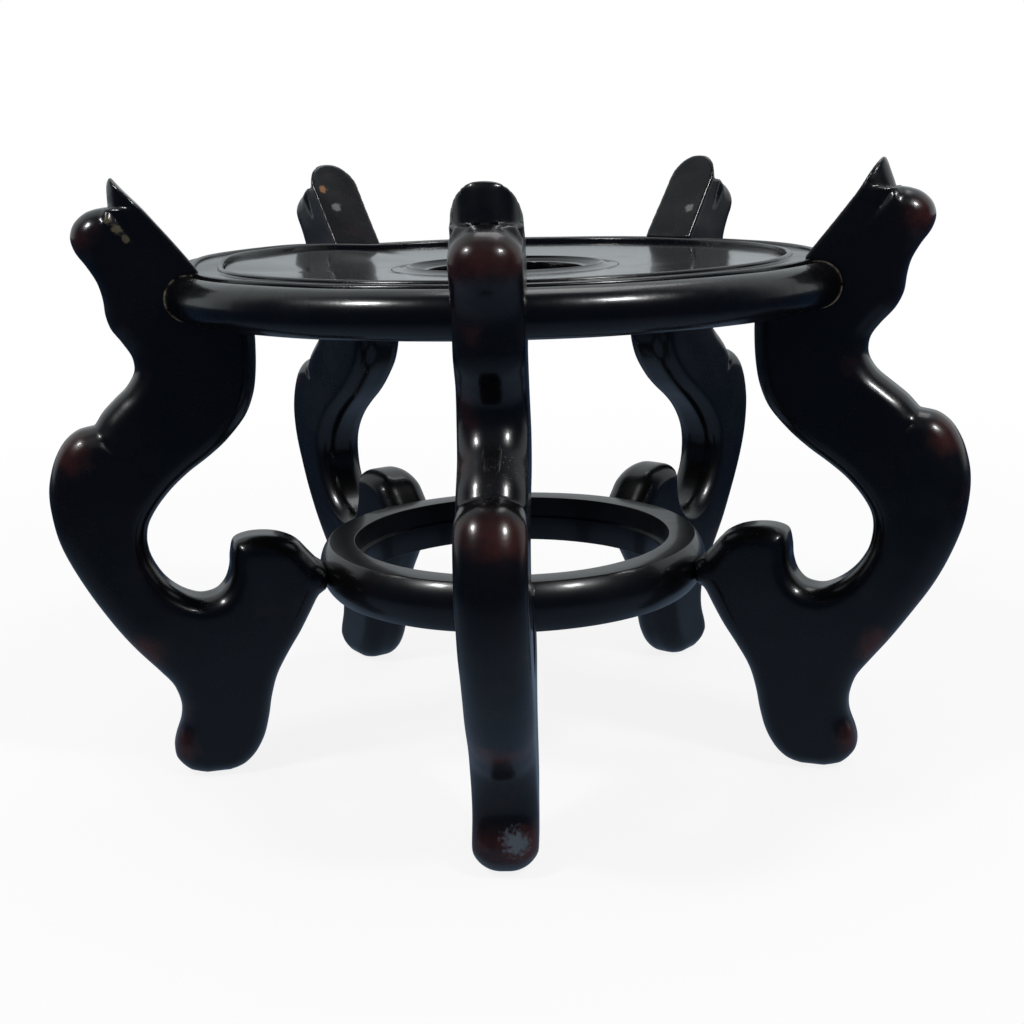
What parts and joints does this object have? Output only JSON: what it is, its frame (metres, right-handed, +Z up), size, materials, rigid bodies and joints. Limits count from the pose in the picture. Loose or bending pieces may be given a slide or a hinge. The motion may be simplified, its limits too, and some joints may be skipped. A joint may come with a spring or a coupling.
{
  "type": "bowl stand",
  "caption": "Round hardwood stand with scrolled legs that rise past a framed panel as arms, and a low ring stretcher between the scroll heads.",
  "frame": {"origin": "centre of the panel's top face, where the bowl's foot rests", "axes": "+Z up along the stand's five-fold axis; the front leg is on -Y"},
  "size_m": [0.2978, 0.2838, 0.2],
  "materials": {
    "leg_lacquer": "near-black brown gloss lacquer, red-brown where rubbed",
    "rim_lacquer": "near-black brown gloss lacquer",
    "ring_lacquer": "near-black brown satin lacquer",
    "panel_lacquer": "near-black high-gloss lacquer",
    "collar_lacquer": "near-black high-gloss lacquer",
    "bare_wood": "unfinished hardwood"
  },
  "bodies": {
    "root": {"leg_front": "leg_lacquer", "leg_front_right": "leg_lacquer", "leg_back_right": "leg_lacquer", "leg_back_left": "leg_lacquer", "leg_front_left": "leg_lacquer", "rim_front_right": "rim_lacquer", "rim_right": "rim_lacquer", "rim_back": "rim_lacquer", "rim_left": "rim_lacquer", "rim_front_left": "rim_lacquer", "ring_front_right": "ring_lacquer", "ring_right": "ring_lacquer", "ring_back": "ring_lacquer", "ring_left": "ring_lacquer", "ring_front_left": "ring_lacquer", "panel": "panel_lacquer", "collar": "collar_lacquer", "rim_keys": "bare_wood", "ring_keys": "bare_wood", "rim_dowels": "bare_wood", "ring_dowels": "bare_wood"}
  },
  "joints": []
}
